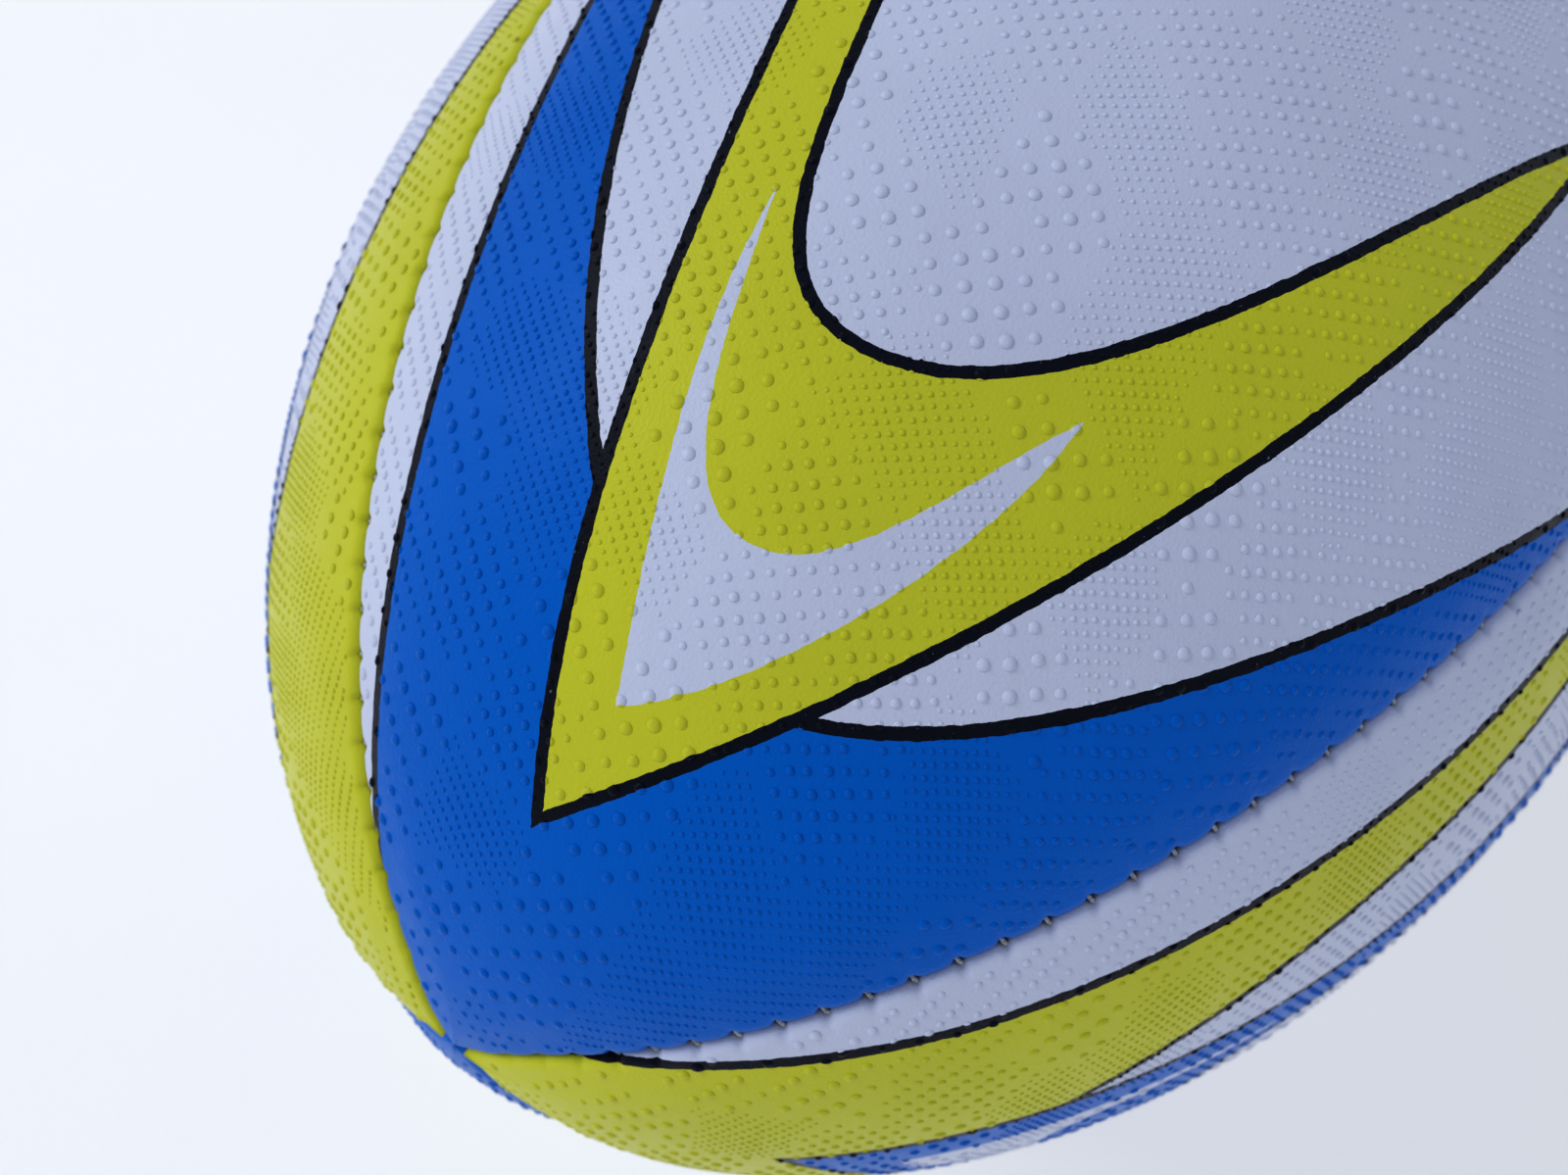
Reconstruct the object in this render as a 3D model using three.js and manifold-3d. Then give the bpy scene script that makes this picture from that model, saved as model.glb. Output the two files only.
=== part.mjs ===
// A full-size rugby ball as its separate pieces: four rubber cover panels, each on two cloth plies,
// stitched edge to edge around a bladder with a push-in valve.
//
// Millimetres. +X runs along the ball, +Z goes out through the middle of the top panel, and +Y
// through the middle of the left panel, which holds the valve. The origin is the ball's centre.

import * as THREE from 'three';
import { ParametricGeometry } from 'three/addons/geometries/ParametricGeometry.js';
import { mergeGeometries, mergeVertices } from 'three/addons/utils/BufferGeometryUtils.js';
import Module from 'manifold-3d';

const wasm = await Module();
wasm.setup();

// ---------------------------------------------------------------- driving dimensions

// Outline of the ball: x = HALF_LENGTH sin t, radius = HALF_WIDTH cos(t) ^ TIP_SHARPNESS.
// A sharpness of 1 is a plain ellipse, and a little more draws the tips out. The facets' corners
// lie on this outline and their middles about 1 mm inside it, so the ball is 190 mm wide across
// the flats.
const HALF_LENGTH = 145;
const HALF_WIDTH = 96;
const TIP_SHARPNESS = 1.07;

// Layers of a panel, as depths below the ball's surface: [outer face, inner face].
const COVER_DEPTHS = [0, 1.2];
const OUTER_PLY_DEPTHS = [1.3, 1.8];
const INNER_PLY_DEPTHS = [1.9, 2.4];

// Panel edges: each one rolls over and turns in beside its neighbour, down to FLANGE_DEPTH.
const SEAM_HALF_GAP = 0.15;
const EDGE_ROLL_RADIUS = 3;
const FLANGE_DEPTH = 7;

// At the tips the cover and each ply stop at their own distance from the ball's long axis.
const COVER_TIP_RADIUS = 2.6;
const OUTER_PLY_TIP_RADIUS = 3.6;
const INNER_PLY_TIP_RADIUS = 4.7;
const TIP_RADII = [COVER_TIP_RADIUS, OUTER_PLY_TIP_RADIUS, INNER_PLY_TIP_RADIUS];
const EVEN_STATIONS_END_RADIUS = 9;

// Facets. Both counts are odd, so that the middle of every panel is one flat facet.
const LENGTH_STEPS = 15;
const CROWN_STEPS = 7;
const COVER_ROLL_STEPS = 2;
const PLY_ROLL_STEPS = 1;

// Seam thread, lying in the groove between two rolled edges.
const THREAD_RADIUS = 0.35;
const THREAD_DEPTH = 1.3;
const THREAD_SIDES = 6;
const THREAD_STEPS = 36;

// Bladder, which folds down under the turned-in edges along each seam.
const BLADDER_DEPTH = 3.4;
const BLADDER_WALL = 1;
const BLADDER_FOLD = [[4, 7.8], [7, 4]];
const BLADDER_SEAM_DEPTH = 8;
const BLADDER_TIP_DEPTH = 9;
const BLADDER_TIP_RADIUS = 12;

// Valve, measured down from the flat facet in the middle of the left panel.
const VALVE_HOLE_RADIUS = 4.8;
const VALVE_COLLAR_RADIUS = 4.5;
const VALVE_COLLAR_DROP = 0.3;
const VALVE_FLANGE_RADIUS = 10.5;
const VALVE_FLANGE_DEPTHS = [4.7, 6.2];
const VALVE_BARREL_DEPTH = 22;
const VALVE_NOSE_RADIUS = 3.5;
const VALVE_NOSE_LENGTH = 2;
const VALVE_BORE_RADIUS = 2.4;
const VALVE_RECESS_RADIUS = 3.3;
const VALVE_RECESS_DEPTH = 1.9;
const PATCH_DEPTHS = [2.6, 3.1];
const PLUG_HEAD_RADIUS = 3;
const PLUG_HEAD_DEPTHS = [0.5, 1.7];
const PLUG_STEM_RADIUS = 2.2;
const PLUG_LENGTH_DEPTH = 20;
const NEEDLE_DUCT_RADIUS = 0.4;
const ROUND_STEPS = 28;

const QUARTER_TURN = Math.PI / 2;

// ---------------------------------------------------------------- materials

const blueRubber = new THREE.MeshStandardMaterial({ color: 0x0a5bbe, roughness: 0.55, metalness: 0 });
const limeRubber = new THREE.MeshStandardMaterial({ color: 0xb9c236, roughness: 0.55, metalness: 0 });
const cloth = new THREE.MeshStandardMaterial({ color: 0xe6e1d2, roughness: 0.9, metalness: 0 });
const threadMaterial = new THREE.MeshStandardMaterial({ color: 0xcfd2d4, roughness: 0.7, metalness: 0 });
const bladderRubber = new THREE.MeshStandardMaterial({ color: 0x1d1d20, roughness: 0.6, metalness: 0 });
const valveRubber = new THREE.MeshStandardMaterial({ color: 0x141416, roughness: 0.5, metalness: 0 });
const patchRubber = new THREE.MeshStandardMaterial({ color: 0x3a3a3e, roughness: 0.7, metalness: 0 });
const plugRubber = new THREE.MeshStandardMaterial({ color: 0xe8e8e4, roughness: 0.45, metalness: 0 });

// ---------------------------------------------------------------- the ball's surface

// The outline's point and outward normal at t, which runs from -90 degrees at one tip to +90 at the other.
function outline(t) {
  const cosine = Math.cos(t);
  const radius = HALF_WIDTH * cosine ** TIP_SHARPNESS;
  const rise = HALF_LENGTH * cosine;
  const fall = HALF_WIDTH * TIP_SHARPNESS * cosine ** (TIP_SHARPNESS - 1) * Math.sin(t);
  const size = Math.hypot(rise, fall);
  return { x: HALF_LENGTH * Math.sin(t), radius, normalX: fall / size, normalR: rise / size };
}

// The value of t, towards the +X tip, at which the outline has this radius.
function stationAt(radius) {
  return Math.acos((radius / HALF_WIDTH) ** (1 / TIP_SHARPNESS));
}

// The point at a depth below the outline, at an angle around the long axis counted from +Z to +Y.
function pointBelow(t, angle, depth) {
  const { x, radius, normalX, normalR } = outline(t);
  const reach = radius - depth * normalR;
  return new THREE.Vector3(x - depth * normalX, reach * Math.sin(angle), reach * Math.cos(angle));
}

// The angle from a panel's middle to the line that stays this distance from the seam's plane.
function angleBesideSeam(t, distance, depth) {
  const { radius, normalR } = outline(t);
  return Math.PI / 4 - Math.asin(distance / (radius - depth * normalR));
}

// Evenly spaced values of t, the same for every layer, so that the layers' facets stay parallel.
const evenStations = Array.from({ length: LENGTH_STEPS + 1 }, (_, i) => {
  return stationAt(EVEN_STATIONS_END_RADIUS) * (2 * i / LENGTH_STEPS - 1);
});

// A layer's stations: the even ones, and those close to the tips that the layer still reaches.
function layerStations(tipRadius) {
  const ends = TIP_RADII.filter((radius) => radius >= tipRadius).map(stationAt);
  return [...ends.map((t) => -t), ...evenStations, ...ends.toReversed()];
}

// ---------------------------------------------------------------- closed meshes

// A sheet of columns by rows facets. Its face is towards the side where columns, rows and normal
// make a right-handed set.
function sheet(columns, rows, pointAt) {
  const place = (u, v, target) => target.copy(pointAt(Math.round(u * columns), Math.round(v * rows)));
  return new ParametricGeometry(place, columns, rows);
}

// One closed mesh from surfaces that meet edge to edge, without the facets that have no area.
function closedMesh(surfaces) {
  const joined = surfaces.length > 1 ? mergeGeometries(surfaces) : surfaces[0];
  joined.deleteAttribute('normal');
  joined.deleteAttribute('uv');
  const merged = mergeVertices(joined);
  const corners = merged.index.array;
  const kept = [];
  for (let i = 0; i < corners.length; i += 3) {
    const [a, b, c] = corners.slice(i, i + 3);
    if (a !== b && b !== c && c !== a) {
      kept.push(a, b, c);
    }
  }
  merged.setIndex(kept);
  return merged;
}

function toSolid(geometry) {
  const vertProperties = new Float32Array(geometry.attributes.position.array);
  const triVerts = new Uint32Array(geometry.index.array);
  return new wasm.Manifold(new wasm.Mesh({ numProp: 3, vertProperties, triVerts }));
}

function fromSolid(solid) {
  const mesh = solid.getMesh();
  const geometry = new THREE.BufferGeometry();
  geometry.setAttribute('position', new THREE.BufferAttribute(mesh.vertProperties, 3));
  geometry.setIndex(Array.from(mesh.triVerts));
  return geometry;
}

// A solid turned around the Y axis from a closed profile of [radius, y] corners.
function turned(profile) {
  const outlinePoints = [...profile, profile[0]].map(([radius, y]) => new THREE.Vector2(radius, y));
  return closedMesh([new THREE.LatheGeometry(outlinePoints, ROUND_STEPS)]);
}

// ---------------------------------------------------------------- panels

// The panel edges' roll gets tighter where the panel narrows to its tip.
function edgeRoll(t) {
  const halfWidthOfPanel = outline(t).radius * Math.SQRT1_2;
  const usedShare = 0.85;
  return Math.min(EDGE_ROLL_RADIUS, usedShare * halfWidthOfPanel - SEAM_HALF_GAP);
}

// One face of a layer across the panel, from lip to lip, as [angle from the panel's middle, depth].
function foldedSection(t, depth, rollSteps) {
  const roll = edgeRoll(t);
  const side = [[angleBesideSeam(t, SEAM_HALF_GAP + depth, FLANGE_DEPTH), FLANGE_DEPTH]];
  for (let i = rollSteps; i >= 0; i -= 1) {
    const turn = QUARTER_TURN * i / rollSteps;
    const distance = SEAM_HALF_GAP + roll - (roll - depth) * Math.sin(turn);
    const pointDepth = roll - (roll - depth) * Math.cos(turn);
    side.push([angleBesideSeam(t, distance, pointDepth), pointDepth]);
  }
  const crownEdge = side.at(-1)[0];
  const crown = [];
  for (let i = 1; i < CROWN_STEPS; i += 1) {
    crown.push([crownEdge * (1 - 2 * i / CROWN_STEPS), depth]);
  }
  const otherSide = side.map(([angle, pointDepth]) => [-angle, pointDepth]).toReversed();
  return [...side, ...crown, ...otherSide];
}

// A cover or ply: its U-shaped section follows the ball's outline from one tip to the other.
function panelLayer([outerDepth, innerDepth], tipRadius, rollSteps, panelAngle) {
  const stations = layerStations(tipRadius);
  const rings = stations.map((t) => {
    const faces = [outerDepth, innerDepth].map((depth) => foldedSection(t, depth, rollSteps));
    return faces.map((face) => face.map(([angle, depth]) => pointBelow(t, panelAngle + angle, depth)));
  });
  const last = rings.length - 1;
  const across = rings[0][0].length;
  const loops = rings.map(([outer, inner]) => [...outer, ...inner.toReversed()]);
  const around = loops[0].length;
  return closedMesh([
    sheet(around, last, (i, j) => loops[j][i % around]),
    sheet(1, across - 1, (i, j) => rings[0][i][j]),
    sheet(1, across - 1, (i, j) => rings[last][1 - i][j]),
  ]);
}

// ---------------------------------------------------------------- seam thread

// The seam's line at a depth below the outline, from one tip to the other.
class SeamCurve extends THREE.Curve {
  constructor(angle, depth, endRadius) {
    super();
    this.angle = angle;
    this.depth = depth;
    this.end = stationAt(endRadius);
  }

  getPoint(share, target = new THREE.Vector3()) {
    return target.copy(pointBelow(this.end * (2 * share - 1), this.angle, this.depth));
  }
}

function threadGeometry(angle) {
  const section = new THREE.Shape();
  for (let i = 0; i < THREAD_SIDES; i += 1) {
    const turn = 2 * Math.PI * i / THREAD_SIDES;
    const corner = [THREAD_RADIUS * Math.cos(turn), THREAD_RADIUS * Math.sin(turn)];
    if (i === 0) {
      section.moveTo(...corner);
    } else {
      section.lineTo(...corner);
    }
  }
  const extrudePath = new SeamCurve(angle, THREAD_DEPTH, INNER_PLY_TIP_RADIUS);
  return closedMesh([new THREE.ExtrudeGeometry(section, { steps: THREAD_STEPS, extrudePath })]);
}

// ---------------------------------------------------------------- bladder

// A quarter of the bladder's section, from one seam up to the next, as [angle, depth].
function bladderQuarter(t, wall) {
  const side = [[Math.PI / 4, BLADDER_SEAM_DEPTH + wall]];
  for (const [distance, depth] of BLADDER_FOLD) {
    side.push([angleBesideSeam(t, distance + wall / 2, depth + wall), depth + wall]);
  }
  const edge = SEAM_HALF_GAP + EDGE_ROLL_RADIUS;
  const crownEdge = angleBesideSeam(t, edge, BLADDER_DEPTH);
  const crown = [];
  for (let i = 1; i < CROWN_STEPS; i += 1) {
    crown.push([crownEdge * (1 - 2 * i / CROWN_STEPS), BLADDER_DEPTH + wall]);
  }
  const otherSide = side.slice(1).map(([angle, depth]) => [-angle, depth]).toReversed();
  return [...side, ...crown, ...otherSide];
}

// One face of the bladder, closed at both tips.
function bladderFace(wall) {
  const tip = stationAt(BLADDER_TIP_RADIUS);
  const quarters = [0, -1, -2, -3].map((count) => count * QUARTER_TURN);
  const lobedRings = evenStations.slice(1, -1).map((t) => {
    const quarter = bladderQuarter(t, wall);
    return quarters.flatMap((turn) => quarter.map(([angle, depth]) => pointBelow(t, turn + angle, depth)));
  });
  const around = lobedRings[0].length;
  const roundRing = (t) => Array.from({ length: around }, (_, i) => {
    return pointBelow(t, Math.PI / 4 - 2 * Math.PI * i / around, BLADDER_TIP_DEPTH + wall);
  });
  const poleRing = (side) => {
    const pole = new THREE.Vector3(side * (HALF_LENGTH - BLADDER_TIP_DEPTH - wall), 0, 0);
    return Array.from({ length: around }, () => pole);
  };
  const rings = [poleRing(-1), roundRing(-tip), ...lobedRings, roundRing(tip), poleRing(1)];
  return closedMesh([sheet(around, rings.length - 1, (i, j) => rings[j][i % around])]);
}

// ---------------------------------------------------------------- valve

// Height of the flat facet in the middle of a panel above the ball's centre.
const facetStation = evenStations[(LENGTH_STEPS + 1) / 2];
const facetAngle = angleBesideSeam(facetStation, SEAM_HALF_GAP + EDGE_ROLL_RADIUS, 0) / CROWN_STEPS;
const FACET_HEIGHT = outline(facetStation).radius * Math.cos(facetAngle);

// The left panel's layers and the bladder are pierced for the valve.
function pierced(geometry) {
  const drill = new THREE.CylinderGeometry(VALVE_HOLE_RADIUS, VALVE_HOLE_RADIUS, HALF_WIDTH, ROUND_STEPS);
  drill.translate(0, HALF_WIDTH, 0);
  return fromSolid(toSolid(geometry).subtract(toSolid(closedMesh([drill]))));
}

function bladderGeometry() {
  const outside = toSolid(bladderFace(0));
  const inside = toSolid(bladderFace(BLADDER_WALL));
  return pierced(fromSolid(outside.subtract(inside)));
}

function valveBodyGeometry() {
  const [flangeTop, flangeBottom] = VALVE_FLANGE_DEPTHS;
  return turned([
    [VALVE_BORE_RADIUS, -VALVE_BARREL_DEPTH],
    [VALVE_NOSE_RADIUS, -VALVE_BARREL_DEPTH],
    [VALVE_COLLAR_RADIUS, -VALVE_BARREL_DEPTH + VALVE_NOSE_LENGTH],
    [VALVE_COLLAR_RADIUS, -flangeBottom],
    [VALVE_FLANGE_RADIUS, -flangeBottom],
    [VALVE_FLANGE_RADIUS, -flangeTop],
    [VALVE_COLLAR_RADIUS, -flangeTop],
    [VALVE_COLLAR_RADIUS, -VALVE_COLLAR_DROP],
    [VALVE_RECESS_RADIUS, -VALVE_COLLAR_DROP],
    [VALVE_RECESS_RADIUS, -VALVE_RECESS_DEPTH],
    [VALVE_BORE_RADIUS, -VALVE_RECESS_DEPTH],
  ]);
}

function valvePatchGeometry() {
  const [top, bottom] = PATCH_DEPTHS;
  return turned([
    [VALVE_HOLE_RADIUS, -bottom],
    [VALVE_FLANGE_RADIUS, -bottom],
    [VALVE_FLANGE_RADIUS, -top],
    [VALVE_HOLE_RADIUS, -top],
  ]);
}

function valvePlugGeometry() {
  const [headTop, headBottom] = PLUG_HEAD_DEPTHS;
  return turned([
    [NEEDLE_DUCT_RADIUS, -PLUG_LENGTH_DEPTH],
    [PLUG_STEM_RADIUS, -PLUG_LENGTH_DEPTH],
    [PLUG_STEM_RADIUS, -headBottom],
    [PLUG_HEAD_RADIUS, -headBottom],
    [PLUG_HEAD_RADIUS, -headTop],
    [NEEDLE_DUCT_RADIUS, -headTop],
  ]);
}

// ---------------------------------------------------------------- the ball

const ball = new THREE.Group();

function addMesh(parent, name, geometry, material) {
  const mesh = new THREE.Mesh(geometry, material);
  mesh.name = name;
  parent.add(mesh);
}

const panels = [
  { side: 'top', angle: 0, material: blueRubber },
  { side: 'left', angle: QUARTER_TURN, material: limeRubber },
  { side: 'bottom', angle: 2 * QUARTER_TURN, material: blueRubber },
  { side: 'right', angle: -QUARTER_TURN, material: limeRubber },
];

for (const { side, angle, material } of panels) {
  const finish = side === 'left' ? pierced : (geometry) => geometry;
  const cover = panelLayer(COVER_DEPTHS, COVER_TIP_RADIUS, COVER_ROLL_STEPS, angle);
  const outerPly = panelLayer(OUTER_PLY_DEPTHS, OUTER_PLY_TIP_RADIUS, PLY_ROLL_STEPS, angle);
  const innerPly = panelLayer(INNER_PLY_DEPTHS, INNER_PLY_TIP_RADIUS, PLY_ROLL_STEPS, angle);
  addMesh(ball, `cover_panel_${side}`, finish(cover), material);
  addMesh(ball, `outer_ply_${side}`, finish(outerPly), cloth);
  addMesh(ball, `inner_ply_${side}`, finish(innerPly), cloth);
}

const seams = ['top_left', 'left_bottom', 'bottom_right', 'right_top'];
seams.forEach((name, count) => {
  const angle = QUARTER_TURN * (count + 0.5);
  addMesh(ball, `seam_thread_${name}`, threadGeometry(angle), threadMaterial);
});

addMesh(ball, 'bladder', bladderGeometry(), bladderRubber);

const valve = new THREE.Group();
valve.position.set(0, FACET_HEIGHT, 0);
addMesh(valve, 'valve_body', valveBodyGeometry(), valveRubber);
addMesh(valve, 'valve_patch', valvePatchGeometry(), patchRubber);
addMesh(valve, 'valve_plug', valvePlugGeometry(), plugRubber);
ball.add(valve);

export default ball;
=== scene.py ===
"""The looks of the rugby ball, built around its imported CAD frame.

Shapes are worked out in millimetres and turned into metres when a mesh is made. On a panel,
`along` is the distance over the surface from the tip at -X, and `across` is the distance around
the ball from the panel's middle line. `depth` is how far below the ball's surface a point lies.
A panel is made with its middle at +Z and then turned to its own side. The top and bottom panels
are the wide ones: they meet each other at the tips, and the left and right ones stop short.
"""
import math

import bpy
import numpy as np
from mathutils import Matrix, Vector


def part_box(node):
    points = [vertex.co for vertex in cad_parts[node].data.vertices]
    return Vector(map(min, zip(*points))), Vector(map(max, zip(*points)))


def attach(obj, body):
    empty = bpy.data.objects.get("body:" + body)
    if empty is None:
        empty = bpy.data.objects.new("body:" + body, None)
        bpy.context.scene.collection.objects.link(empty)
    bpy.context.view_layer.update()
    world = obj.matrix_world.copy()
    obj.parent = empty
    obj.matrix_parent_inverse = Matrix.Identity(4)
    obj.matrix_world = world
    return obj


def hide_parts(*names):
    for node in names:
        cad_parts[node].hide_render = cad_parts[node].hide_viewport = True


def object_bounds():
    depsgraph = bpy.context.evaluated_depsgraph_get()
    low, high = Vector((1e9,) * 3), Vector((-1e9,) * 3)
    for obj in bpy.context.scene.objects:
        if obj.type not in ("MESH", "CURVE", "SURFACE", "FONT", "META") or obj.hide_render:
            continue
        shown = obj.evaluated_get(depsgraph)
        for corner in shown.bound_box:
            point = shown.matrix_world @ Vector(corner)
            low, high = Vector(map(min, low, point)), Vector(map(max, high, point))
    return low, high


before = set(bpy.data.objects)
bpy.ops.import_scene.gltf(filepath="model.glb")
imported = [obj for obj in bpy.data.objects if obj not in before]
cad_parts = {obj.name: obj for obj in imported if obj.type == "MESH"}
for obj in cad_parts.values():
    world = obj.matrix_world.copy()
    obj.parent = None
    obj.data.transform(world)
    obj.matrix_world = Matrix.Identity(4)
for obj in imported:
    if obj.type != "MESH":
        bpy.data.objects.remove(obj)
CAD_LOW, CAD_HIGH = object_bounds()

MM = 0.001

# ------------------------------------------------------------------ the ball's outline

# x = HALF_LENGTH sin t and radius = HALF_WIDTH cos(t) ^ TIP_SHARPNESS, as in the CAD.
HALF_LENGTH = (CAD_HIGH[0] - CAD_LOW[0]) / 2 / MM
HALF_WIDTH = (CAD_HIGH[2] - CAD_LOW[2]) / 2 / MM
TIP_SHARPNESS = 1.07
OUTLINE_STEPS = 20000


def outline_at(t):
    """x, radius and the outward normal's x and radial parts, for t from -90 to +90 degrees."""
    cosine = np.maximum(np.cos(t), 1e-7)
    fall = HALF_WIDTH * TIP_SHARPNESS * cosine ** (TIP_SHARPNESS - 1) * np.sin(t)
    rise = HALF_LENGTH * cosine
    size = np.hypot(rise, fall)
    return HALF_LENGTH * np.sin(t), HALF_WIDTH * cosine ** TIP_SHARPNESS, fall / size, rise / size


T_STEPS = np.linspace(-math.pi / 2, math.pi / 2, OUTLINE_STEPS + 1)
X_STEPS, RADIUS_STEPS = outline_at(T_STEPS)[:2]
ALONG_STEPS = np.concatenate([[0], np.cumsum(np.hypot(np.diff(X_STEPS), np.diff(RADIUS_STEPS)))])
TIP_TO_TIP = ALONG_STEPS[-1]


def outline(along):
    """The same four values at a distance over the surface from the tip at -X."""
    return outline_at(np.interp(along, ALONG_STEPS, T_STEPS))


def from_nearer_tip(along):
    """The distance over the surface from whichever tip is nearer."""
    return np.minimum(along, TIP_TO_TIP - along)


# ------------------------------------------------------------------ panels and seams

# Layers of a panel, as depths of (outer face, inner face).
COVER_DEPTHS = (0.0, 1.2)
OUTER_PLY_DEPTHS = (1.3, 1.8)
INNER_PLY_DEPTHS = (1.9, 2.4)

# A panel's edge rolls over and turns in beside its neighbour, down to FLANGE_DEPTH. Beside it
# runs a band with closely spaced points, and the crown fills the rest of the panel.
SEAM_GAP = 0.06
EDGE_ROLL = 1.3
THINNEST_ROLL = 0.12
FLANGE_DEPTH = 7.0
FLANGE_LEVELS = (FLANGE_DEPTH, 4.5, 3.0)
BAND_WIDTH = 8.0
BAND_SPREAD = 1.3

# The cover sinks towards a seam, and less so at the tips.
SEAM_SINK = 0.6
SEAM_SINK_REACH = 4.8
TIP_SINK = 0.25
TIP_SINK_FADE = (3.0, 16.0)
CROWN_SINK_SCALE = 0.7

# The wide panels reach this far over the quarter lines at the tips, which cuts the others short.
TIP_MEETING = 1.0
TIP_FADE = (2.0, 14.0)

# Each stitch pulls a notch into the edges, and the cover swells a little between two stitches.
# STITCH_PITCH is the pitch aimed at, and STITCH_STEP is the one that divides the seam evenly.
FIRST_STITCH = 8.0
STITCH_PITCH = 4.3
NOTCH_DEPTH = 0.65
NOTCH_PULL = 0.36
NOTCH_HALF_LENGTH = 0.48
NOTCH_REACH = 1.0
NOTCH_FADE = (8.0, 26.0)
TIP_STITCH_PULL = 0.15
SCALLOP = 0.06
ROLL_FADE_DEPTH = 1.6

STITCHES = np.linspace(
    FIRST_STITCH,
    TIP_TO_TIP - FIRST_STITCH,
    1 + round((TIP_TO_TIP - 2 * FIRST_STITCH) / STITCH_PITCH),
)
STITCH_STEP = STITCHES[1] - STITCHES[0]

# name: (angle of the panel's middle from +Z towards +Y, True for the wide panels)
PANELS = {
    "top": (0.0, True),
    "left": (math.pi / 2, False),
    "bottom": (math.pi, True),
    "right": (-math.pi / 2, False),
}


def smooth(low, high, value):
    """0 below low, 1 above high, and an even curve between them."""
    share = np.clip((value - low) / (high - low), 0, 1)
    return share * share * (3 - 2 * share)


def seam_shift(along):
    """How far the seams stand away from the quarter lines, towards the narrow panels."""
    return TIP_MEETING * math.sqrt(0.5) * (1 - smooth(*TIP_FADE, from_nearer_tip(along)))


def room_beside_seam(along, radius, wide):
    """The distance from a panel's edge to its middle line."""
    shift = seam_shift(along)
    if wide:
        return np.minimum(radius, radius * math.sqrt(0.5) + shift)
    return radius * math.sqrt(0.5) - shift


def angle_beside_seam(along, distance, depth, wide):
    """The angle from a panel's middle to a point at this distance inside the panel's edge."""
    _, radius, _, normal_r = outline(along)
    reach = radius - depth * normal_r
    room = np.maximum(room_beside_seam(along, reach, wide), 1e-3)
    distance = distance / np.sqrt(1 + (distance / room) ** 2)
    shift = seam_shift(along)
    if wide:
        diagonal = math.pi / 4 + np.arcsin(np.clip((shift - distance) / reach, -1, 1))
        return np.minimum(diagonal, math.pi / 2 - np.arcsin(np.clip(distance / reach, -1, 1)))
    return np.maximum(math.pi / 4 - np.arcsin(np.clip((shift + distance) / reach, -1, 1)), 0.01)


def place(along, angle, depth):
    """Points in millimetres for a panel whose middle is at +Z."""
    x, radius, normal_x, normal_r = outline(along)
    reach = radius - depth * normal_r
    return np.stack([x - depth * normal_x, reach * np.sin(angle), reach * np.cos(angle)], -1)


def stitch_offset(along):
    """The signed distance along the seam to the nearest stitch."""
    return along - STITCHES[np.abs(along[..., None] - STITCHES).argmin(-1)]


def stitch_pull(along):
    """How hard the stitches pull: 1 over most of a seam, less near a tip."""
    return TIP_STITCH_PULL + (1 - TIP_STITCH_PULL) * smooth(*NOTCH_FADE, from_nearer_tip(along))


def notch(along):
    """How deep the stitches dent the edge: most at a stitch, falling to 0 beside it."""
    return stitch_pull(along) * np.exp(-(stitch_offset(along) / NOTCH_HALF_LENGTH) ** 2)


def surface_sink(along, distance):
    """How deep the cover's surface lies this far from the seam."""
    phase = np.cos(2 * math.pi * stitch_offset(along) / STITCH_PITCH)
    near = np.exp(-(distance / NOTCH_REACH) ** 2)
    sink = TIP_SINK + (SEAM_SINK - TIP_SINK) * smooth(*TIP_SINK_FADE, from_nearer_tip(along))
    sink = sink * np.exp(-(distance / SEAM_SINK_REACH) ** 2)
    return sink + near * (NOTCH_DEPTH * notch(along) + SCALLOP * phase)


def edge_profile(depth, roll_steps, band_steps):
    """(distance from the seam, depth) from a layer's lip, round its rolled edge, to its band."""
    roll = max(EDGE_ROLL - depth, THINNEST_ROLL)
    corner = (SEAM_GAP + depth + roll, depth + roll)
    points = [(SEAM_GAP + depth, level) for level in FLANGE_LEVELS if level > corner[1]]
    for turn in np.linspace(math.pi / 2, 0, roll_steps + 1):
        points.append((corner[0] - roll * math.sin(turn), corner[1] - roll * math.cos(turn)))
    share = np.linspace(0, 1, band_steps + 1)[1:] ** BAND_SPREAD
    points += [(corner[0] + (BAND_WIDTH - corner[0]) * part, depth) for part in share]
    return np.array(points)


def layer_face(stations, depth, wide, roll_steps, band_steps, crown_steps, outside):
    """Angles and depths of one face of a layer, as arrays of stations by columns.

    The columns run from one lip over the crown to the other. Only the outside face follows the
    stitches and the sink beside the seam.
    """
    profile = edge_profile(depth, roll_steps, band_steps)
    along = stations[:, None]
    distance = np.broadcast_to(profile[:, 0], (len(stations), len(profile))).copy()
    level = np.broadcast_to(profile[:, 1], distance.shape).copy()
    if outside:
        fade = np.exp(-(np.maximum(level - EDGE_ROLL, 0) / ROLL_FADE_DEPTH) ** 2)
        near = np.exp(-(distance / NOTCH_REACH) ** 2) * fade
        level = level + surface_sink(along, distance) * fade
        distance = distance + NOTCH_PULL * notch(along) * near
    side = angle_beside_seam(along, distance, level, wide)
    share = np.linspace(1, -1, crown_steps + 1)[1:-1]
    crown = side[:, -1:] * share
    crown_level = np.full(crown.shape, depth)
    if outside:
        into_crown = outline(along)[1] * (side[:, -1:] - np.abs(crown))
        from_seam = BAND_WIDTH + CROWN_SINK_SCALE * into_crown
        crown_level = crown_level + surface_sink(along, from_seam)
    angles = np.concatenate([side, crown, -side[:, ::-1]], 1)
    levels = np.concatenate([level, crown_level, level[:, ::-1]], 1)
    return angles, levels


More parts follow.
